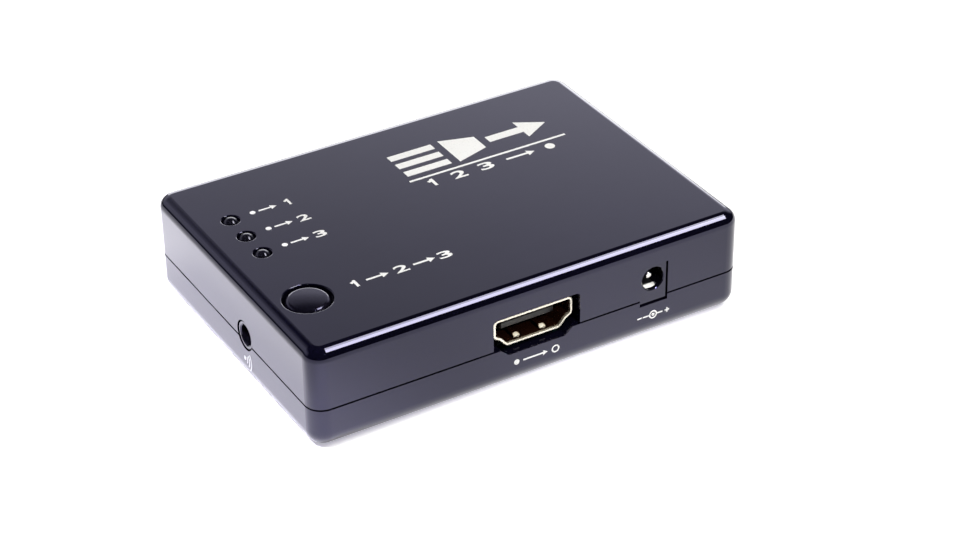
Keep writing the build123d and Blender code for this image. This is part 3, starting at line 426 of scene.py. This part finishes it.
class Sheet:
    """A drawing of printed marks that becomes one thin piece."""

    def __init__(self):
        self.bm = bmesh.new()
        self.lift = 0.0

    def raise_new(self, verts):
        """Each stroke lies a hair above the one before."""
        bmesh.ops.translate(self.bm, verts=list(verts), vec=(0, 0, self.lift))
        self.lift += STROKE_LIFT

    def line(self, x, y, width, *moves, heading=0):
        """A stroke from x, y. A move is a length, or a bend as (radius, degrees), left when positive."""
        known = set(self.bm.verts)
        ahead = Matrix.Rotation(radians(heading), 3, "Z") @ Vector((1, 0, 0))
        spot = Vector((x, y, 0))
        aside = Vector((-ahead.y, ahead.x, 0))
        edge = self.bm.edges.new([self.bm.verts.new(spot + aside * width / 2 * s) for s in (1, -1)])
        for move in moves:
            if isinstance(move, tuple):
                radius, degrees = move
                aside = Vector((-ahead.y, ahead.x, 0))
                centre = spot + aside * radius * (1 if degrees > 0 else -1)
                turn = Matrix.Rotation(radians(degrees), 3, "Z")
                swept = bmesh.ops.spin(
                    self.bm,
                    geom=[edge, *edge.verts],
                    cent=centre,
                    axis=(0, 0, 1),
                    angle=radians(degrees),
                    steps=max(3, round(abs(degrees) / BEND_STEP)),
                )
                edge = only(BMEdge, swept["geom_last"])[0]
                spot = centre + turn @ (spot - centre)
                ahead = turn @ ahead
            else:
                grown = bmesh.ops.extrude_edge_only(self.bm, edges=[edge])["geom"]
                bmesh.ops.translate(self.bm, verts=only(BMVert, grown), vec=ahead * move)
                edge = only(BMEdge, grown)[0]
                spot = spot + ahead * move
        self.raise_new(set(self.bm.verts) - known)

    def disc(self, x, y, radius, corners=32, turn=0.0):
        place = Matrix.Translation((x, y, 0)) @ Matrix.Rotation(radians(turn), 4, "Z")
        made = bmesh.ops.create_circle(self.bm, cap_ends=True, segments=corners, radius=radius, matrix=place)
        self.raise_new(made["verts"])

    def taper(self, x, y, length, wide, narrow):
        """A block that narrows to the right, from the middle of its left side at x, y."""
        ends = [self.bm.verts.new((x, y + wide / 2 * s, 0)) for s in (1, -1)]
        grown = bmesh.ops.extrude_edge_only(self.bm, edges=[self.bm.edges.new(ends)])["geom"]
        far = only(BMVert, grown)
        bmesh.ops.translate(self.bm, verts=far, vec=(length, -y, 0))
        bmesh.ops.scale(self.bm, verts=far, vec=(1, narrow / wide, 1))
        bmesh.ops.translate(self.bm, verts=far, vec=(0, y, 0))
        self.raise_new([*ends, *far])

    def ring(self, x, y, radius, width):
        self.line(x + radius, y, width, (radius, 180), (radius, 180), heading=90)

    def head(self, x, y, size):
        """An arrow head that points to the right, with its tip at x, y."""
        self.disc(x - size, y, size, corners=3, turn=-90)

    def arrow(self, x, y, length, stroke):
        """A plain arrow to the right with its tip at x + length."""
        head = stroke * HEAD_SIZE
        self.line(x, y, stroke, length - head * HEAD_REACH)
        self.head(x + length, y, head)

    def digit(self, number, x, y, width, height, stroke):
        """A wide, bold digit with its lower left corner at x, y; the 1 is drawn as a stem and a flag."""
        if number == 1:
            stem = x + width * STEM_PLACE
            self.line(stem, y, stroke, height, heading=90)
            self.line(stem, y + height - stroke * FLAG_DROP, stroke, width * FLAG_WIDTH, heading=FLAG_HEADING)
            return
        curve = bpy.data.curves.new("digit_curve", "FONT")
        curve.body = str(number)
        curve.offset = DIGIT_BOLDNESS
        curve.resolution_u = DIGIT_STEPS
        holder = add_object("digit_holder", curve)
        bpy.context.view_layer.update()
        drawn = bpy.data.meshes.new_from_object(holder)
        bpy.data.objects.remove(holder)
        known = set(self.bm.verts)
        self.bm.from_mesh(drawn)
        bpy.data.meshes.remove(drawn)
        fresh = [v for v in self.bm.verts if v not in known]
        low = Vector(min(v.co[i] for v in fresh) for i in range(3))
        high = Vector(max(v.co[i] for v in fresh) for i in range(3))
        bmesh.ops.translate(self.bm, verts=fresh, vec=-low)
        bmesh.ops.scale(self.bm, verts=fresh, vec=(width / (high.x - low.x), height / (high.y - low.y), 1))
        bmesh.ops.translate(self.bm, verts=fresh, vec=(x, y, 0))
        self.raise_new(fresh)

    def piece(self, name, side):
        """The drawing as a thin film on that face."""
        bm = self.bm
        bmesh.ops.remove_doubles(bm, verts=bm.verts, dist=1e-5)
        down = [f for f in bm.faces if f.normal.z < 0]
        bmesh.ops.reverse_faces(bm, faces=down)
        tops = only(BMVert, bmesh.ops.extrude_face_region(bm, geom=list(bm.faces))["geom"])
        bmesh.ops.scale(bm, verts=bm.verts, vec=(MM, MM, MM))
        bmesh.ops.translate(bm, verts=bm.verts, vec=(0, 0, -PRINT_SINK))
        bmesh.ops.translate(bm, verts=tops, vec=(0, 0, PRINT_SINK + PRINT_THICKNESS))
        bmesh.ops.recalc_face_normals(bm, faces=bm.faces)
        bmesh.ops.transform(bm, verts=bm.verts, matrix=lay_on(side))
        finished(bm, name, white_ink, "housing")


def print_on_top():
    """A number beside each light, the button's order 1 to 2 to 3, and a block diagram over a line of numbers."""
    lights = Sheet()
    for number in (1, 2, 3):
        low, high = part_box(f"indicator_lens_{number}")
        middle = (low.y + high.y) / 2 / MM + 0.25
        lights.disc(-28.7, middle, radius=0.5)
        lights.arrow(-27.6, middle, length=3.3, stroke=0.38)
        lights.digit(number, -23.3, middle - 0.9, width=2.1, height=1.9, stroke=0.42)
    lights.piece("print_light_numbers", "top")

    cycle = Sheet()
    middle = -13.95
    for number, x in ((1, -25.8), (2, -17.4), (3, -9.4)):
        cycle.digit(number, x, middle - 1, width=2.4, height=2.0, stroke=0.5)
    for x in (-22.5, -14.0):
        cycle.arrow(x, middle, length=4.0, stroke=0.44)
    cycle.piece("print_button_order", "top")

    diagram = Sheet()
    middle, bar_pitch, bar_width = 14.3, 2.9, 1.7
    for level in (1, 0, -1):
        diagram.line(-1.2, middle + level * bar_pitch, bar_width, 8.6)
    diagram.taper(8.9, middle, length=6.2, wide=8.0, narrow=4.2)
    diagram.line(16.6, middle, 1.9, 7.2)
    diagram.head(28.3, middle, size=3.3)
    diagram.piece("print_switch_diagram", "top")

    trim = Sheet()
    middle = 6.75
    trim.line(-1.8, middle + 2.15, 0.5, 30.8)
    for number, x in ((1, 0.0), (2, 5.2), (3, 10.5)):
        trim.digit(number, x, middle - 1.15, width=2.7, height=2.3, stroke=0.55)
    trim.arrow(15.9, middle, length=5.6, stroke=0.5)
    trim.disc(24.6, middle, radius=0.9)
    trim.piece("print_trim_line", "top")


LABEL_HEIGHT = 4.15  # of the labels' middle line on front and back, in millimetres above the table
OUTLET_X, POWER_X = 3.7, 22.6  # of the rings in the labels of the output socket and the power jack
POLARITY_STROKE, SIGN_SIZE = 0.26, 0.9
WAVE_STROKE, WAVE_ANGLE = 0.3, 80


def print_on_sides():
    """Front: an arrow out of the box, and a jack's polarity. Left: waves. Back: an arrow and a number per input."""
    ports = Sheet()
    ports.disc(-3.6, LABEL_HEIGHT, radius=0.5)
    ports.arrow(-2.4, LABEL_HEIGHT, length=4.6, stroke=0.3)
    ports.ring(OUTLET_X, LABEL_HEIGHT, radius=0.6, width=POLARITY_STROKE)
    ports.ring(POWER_X, LABEL_HEIGHT, radius=0.66, width=POLARITY_STROKE)
    ports.disc(POWER_X, LABEL_HEIGHT, radius=0.3)
    for x, length in ((20.6, 1.34), (23.26, 1.2), (19.5, SIGN_SIZE), (24.9, SIGN_SIZE)):
        ports.line(x, LABEL_HEIGHT, POLARITY_STROKE, length)
    ports.line(25.35, LABEL_HEIGHT - SIGN_SIZE / 2, POLARITY_STROKE, SIGN_SIZE, heading=90)
    ports.piece("print_front_marks", "front")

    sensor = Sheet()
    source_x, source_y = 4.3, 3.95
    sensor.disc(source_x, source_y, radius=0.38)
    for radius in (0.95, 1.65, 2.35):
        start = Matrix.Rotation(radians(-WAVE_ANGLE / 2), 3, "Z") @ Vector((radius, 0, 0))
        arc = (radius, WAVE_ANGLE)
        sensor.line(source_x + start.x, source_y + start.y, WAVE_STROKE, arc, heading=90 - WAVE_ANGLE / 2)
    sensor.piece("print_sensor_waves", "left")

    inputs = Sheet()
    for number in (1, 2, 3):
        low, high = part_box(f"input_socket_{number}_shell")
        middle = -(low.x + high.x) / 2 / MM
        inputs.disc(middle - 3.2, LABEL_HEIGHT, radius=0.45)
        inputs.arrow(middle - 2.2, LABEL_HEIGHT, length=3.0, stroke=0.3)
        inputs.digit(number, middle + 1.7, LABEL_HEIGHT - 0.75, width=1.8, height=1.6, stroke=0.36)
    inputs.piece("print_input_numbers", "back")


print_on_top()
print_on_sides()


# Inside the lights: two posts, one with a bright cup, seen through the clear resin

CUP_RIM, CUP_WELL, CUP_DEPTH, CUP_WALL = 0.62 * MM, 0.3 * MM, 0.36 * MM, 0.12 * MM
CUP_FOOT = CUP_DEPTH + 2.6 * CUP_WALL  # where the cup has narrowed to its stem
CUP_ASIDE, POST_ASIDE = 0.35 * MM, 0.9 * MM
STEM_RADIUS, POST_WIDTH, POST_EDGE = 0.25 * MM, 0.5 * MM, 0.06 * MM
STEM_BELOW, POST_DROP = 0.05 * MM, 0.1 * MM  # the stem ends below the lens, the post below the cup's rim
AXIS_GAP = CUP_WELL * 0.02  # the turned outline stops a hair before its axis, and the hole is filled
DOME_SHARE = 0.76  # of the lens flange's width: how far the cup's rim lies below the top of the lens


def light_core(number):
    """A turned cup on its stem, and a square post beside it."""
    low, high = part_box(f"indicator_lens_{number}")
    x, y = (low.x + high.x) / 2, (low.y + high.y) / 2
    cup_z = high.z - DOME_SHARE * (high.y - low.y)
    bm = bmesh.new()
    outline = [
        (AXIS_GAP, cup_z - CUP_DEPTH),
        (CUP_WELL, cup_z - CUP_DEPTH),
        (CUP_RIM, cup_z),
        (CUP_RIM + CUP_WALL, cup_z),
        (CUP_RIM + CUP_WALL, cup_z - CUP_DEPTH - CUP_WALL),
        (CUP_WELL, cup_z - CUP_FOOT),
        (STEM_RADIUS, low.z - STEM_BELOW),
        (AXIS_GAP, low.z - STEM_BELOW),
    ]
    corners = [bm.verts.new((x - CUP_ASIDE + radius, y, z)) for radius, z in outline]
    edges = [bm.edges.new(pair) for pair in zip(corners, corners[1:])]
    bmesh.ops.spin(
        bm,
        geom=[*corners, *edges],
        cent=(x - CUP_ASIDE, y, 0),
        axis=(0, 0, 1),
        angle=radians(360),
        steps=28,
        use_merge=True,
    )
    bmesh.ops.remove_doubles(bm, verts=bm.verts, dist=1e-8)
    bmesh.ops.holes_fill(bm, edges=bm.edges, sides=40)
    post = bmesh.ops.create_cube(bm, size=1.0)["verts"]
    height = cup_z - POST_DROP - low.z
    bmesh.ops.scale(bm, verts=post, vec=(POST_WIDTH, POST_WIDTH, height))
    bmesh.ops.translate(bm, verts=post, vec=(x + POST_ASIDE, y, low.z + height / 2))
    bmesh.ops.bevel(
        bm,
        geom=list({e for v in post for e in v.link_edges}),
        offset=POST_EDGE,
        affect="EDGES",
        segments=2,
        profile=0.5,
        material=-1,
    )
    bmesh.ops.recalc_face_normals(bm, faces=bm.faces)
    finished(bm, f"light_core_{number}", finishes["plated_metal"], "housing")


for light in (1, 2, 3):
    light_core(light)


# Under the button: the snap dome that gives way to the plunger, made here as a piece of its own

DOME_SHEET, BUTTON_TRAVEL = 0.12 * MM, 0.25 * MM


def snap_dome():
    """Two arcs about one centre, joined at the rim and turned about the upright axis."""
    low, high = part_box("switch_dome")
    x, y = (low.x + high.x) / 2, (low.y + high.y) / 2
    height = high.z - low.z
    radius = (((high.x - low.x) / 2) ** 2 + height**2) / (2 * height)
    centre = (x, y, high.z - radius)
    bm = bmesh.new()
    rims = []
    for face in (radius, radius - DOME_SHEET):
        crown = bm.verts.new((x, y, high.z - radius + face))
        down = acos((radius - height) / face)
        arc = bmesh.ops.spin(bm, geom=[crown], cent=centre, axis=(0, 1, 0), angle=down, steps=9)
        rims += only(BMVert, arc["geom_last"])
    bm.edges.new(rims)
    outline = [*bm.verts, *bm.edges]
    bmesh.ops.spin(bm, geom=outline, cent=centre, axis=(0, 0, 1), angle=radians(360), steps=48, use_merge=True)
    bmesh.ops.remove_doubles(bm, verts=bm.verts, dist=1e-7)
    bmesh.ops.recalc_face_normals(bm, faces=bm.faces)
    dome = finished(bm, "snap_dome", finishes["switch_metal"], "housing", smooth=True)
    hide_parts("switch_dome")
    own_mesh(dome)


snap_dome()


# Studio: pale floor and surroundings, soft lamps

FLOOR_HALF_SIZE, FLOOR_GAP = 4.0, 0.03 * MM
FLOOR_PAINT = (0.85, 0.85, 0.86)
FLOOR_GLOW = (0.90, 0.88, 1.0)
FLOOR_GLOW_SEEN, FLOOR_GLOW_MIRRORED = 0.5, 0.38

WALL_GLOW = 1.28
WALL_WHITE = (0.90, 0.89, 1.0)
# Brightness by how high a ray points, and its ranges (from, to, darkest, brightest) to the right and to the back
WALL_HEIGHTS = [
    (0.0, 0.04),
    (0.13, 0.04),
    (0.20, 0.80),
    (0.47, 0.96),
    (0.485, 0.88),
    (0.50, 0.78),
    (0.515, 0.70),
    (0.53, 0.62),
    (0.56, 0.53),
    (0.60, 0.40),
    (0.655, 0.01),
]
WALL_SIDES = (0.2, 0.55, 0.60, 1.0)
WALL_BACK = (0.15, 0.45, 0.0, 1.0)

BOX_WHITE = (1.0, 0.99, 0.90)
WASH_WHITE = (0.92, 0.90, 1.0)


def studio_floor():
    """A plain floor just below the feet, lifted to white for the camera and a little less in reflections."""
    bm = bmesh.new()
    bmesh.ops.create_grid(bm, x_segments=2, y_segments=2, size=FLOOR_HALF_SIZE)
    bmesh.ops.translate(bm, verts=bm.verts, vec=(0, 0, -FLOOR_GAP))
    mesh = bpy.data.meshes.new("studio_floor")
    bm.to_mesh(mesh)
    bm.free()
    floor = add_object("studio_floor", mesh)
    material = bpy.data.materials.new("floor_white")
    material.use_nodes = True
    material.node_tree.nodes.clear()
    paint = Wiring(material.node_tree)
    path = paint.node("ShaderNodeLightPath").outputs
    level = paint.math("MULTIPLY", path["Is Camera Ray"], FLOOR_GLOW_SEEN)
    for kind in ("Is Glossy Ray", "Is Transmission Ray"):
        level = paint.math("MAXIMUM", level, paint.math("MULTIPLY", path[kind], FLOOR_GLOW_MIRRORED))
    matt = paint.node("ShaderNodeBsdfDiffuse", Color=(*FLOOR_PAINT, 1))
    glow = paint.node("ShaderNodeEmission", Color=(*FLOOR_GLOW, 1), Strength=level)
    both = paint.node("ShaderNodeAddShader")
    paint.join(matt.outputs[0], both.inputs[0])
    paint.join(glow.outputs[0], both.inputs[1])
    paint.node("ShaderNodeOutputMaterial", Surface=both.outputs[0])
    mesh.materials.append(material)


def studio_world():
    """A pale wall behind, brighter low down and to the right, and a dim room in front; the camera sees plain white."""
    world = bpy.data.worlds.new("studio")
    bpy.context.scene.world = world
    world.use_nodes = True
    room = Wiring(world.node_tree)
    toward = room.node("ShaderNodeTexCoord").outputs["Generated"]
    parts = room.node("ShaderNodeSeparateXYZ", Vector=toward).outputs
    wall = room.ramp(parts["Z"], [(place, (grey, grey, grey)) for place, grey in WALL_HEIGHTS])
    wall = room.math("MULTIPLY", wall, room.ranged(parts["X"], *WALL_SIDES))
    wall = room.math("MULTIPLY", wall, room.ranged(parts["Y"], *WALL_BACK))
    background = world.node_tree.nodes["Background"]
    room.join((*WALL_WHITE, 1), background.inputs["Color"])
    room.join(room.math("MULTIPLY", wall, WALL_GLOW), background.inputs["Strength"])
    plain = room.node("ShaderNodeBackground", Color=(1, 1, 1, 1))
    either = room.node("ShaderNodeMixShader")
    seen = room.node("ShaderNodeLightPath").outputs["Is Camera Ray"]
    for value, socket in zip((seen, background.outputs[0], plain.outputs[0]), either.inputs):
        room.join(value, socket)
    room.join(either.outputs[0], world.node_tree.nodes["World Output"].inputs["Surface"])


def soft_lamp(name, place, aim, width, height, radiance, colour=(1, 1, 1), spread=180):
    """A rectangular soft box: its power follows from its size, its spread and how bright its face looks."""
    half = radians(spread) / 2
    focus = 1 if spread == 180 else tan(half) / (tan(half) - half)
    lamp = bpy.data.lights.new(name, "AREA")
    lamp.shape = "RECTANGLE"
    lamp.size = width
    lamp.size_y = height
    lamp.energy = radiance * width * height * pi / focus
    lamp.color = colour
    lamp.spread = radians(spread)
    holder = add_object(name, lamp)
    back = (Vector(place) - Vector(aim)).normalized()
    side = (Vector((1, 0, 0)) - back * back.x).normalized()
    holder.rotation_euler = Matrix((side, back.cross(side), back)).transposed().to_euler()
    holder.location = place
    return holder


def port_spot(place, aim, power, width):
    """A small spotlight from the front that wakes the metal in the sockets."""
    lamp = bpy.data.lights.new("port_spot", "SPOT")
    lamp.energy = power
    lamp.spot_size = radians(width)
    lamp.spot_blend = 0.9
    lamp.shadow_soft_size = 0.03
    holder = add_object("port_spot", lamp)
    holder.location = place
    holder.rotation_euler = (Vector(aim) - Vector(place)).to_track_quat("-Z", "Y").to_euler()


def studio_lamps():
    """Two boxes whose reflection is the bright strip along the front edge, a panel behind, a wash on the left."""
    soft_lamp(
        "soft_box_high",
        place=(0.305, -0.042, 0.650),
        aim=(0, 0, 0),
        width=0.22,
        height=0.222,
        radiance=10.4,
        colour=BOX_WHITE,
    )
    soft_lamp(
        "soft_box_low",
        place=(0.305, -0.263, 0.597),
        aim=(0, 0, 0),
        width=0.22,
        height=0.286,
        radiance=18.5,
        colour=BOX_WHITE,
    )
    soft_lamp("back_panel", place=(0.37, 0.68, 0.165), aim=(0, 0, 0.01), width=0.60, height=0.28, radiance=2.8)
    floor_wash = soft_lamp(
        "left_floor_wash",
        place=(-0.16, 0.015, 0.25),
        aim=(-0.0420, 0.012, 0),
        width=0.02,
        height=0.14,
        radiance=1000.0,
        colour=WASH_WHITE,
        spread=10,
    )
    floor_wash.visible_glossy = False
    port_spot(place=(0.06, -0.34, 0.32), aim=(0.012, -0.027, 0.008), power=9.5, width=8)


def place_camera():
    """The camera that was fitted to the photograph's outline."""
    camera = bpy.data.cameras.new("photo_camera")
    camera.sensor_width = 36.0
    camera.lens = 94.5756
    camera.clip_start = 0.01
    camera.clip_end = 50
    holder = add_object("photo_camera", camera)
    holder.location = (-0.17541831, -0.31209871, 0.23417815)
    holder.rotation_euler = (radians(57.196659), radians(0.688856), radians(-30.670281))
    bpy.context.scene.camera = holder


studio_floor()
studio_world()
studio_lamps()
place_camera()
bpy.context.scene.view_settings.view_transform = "Standard"
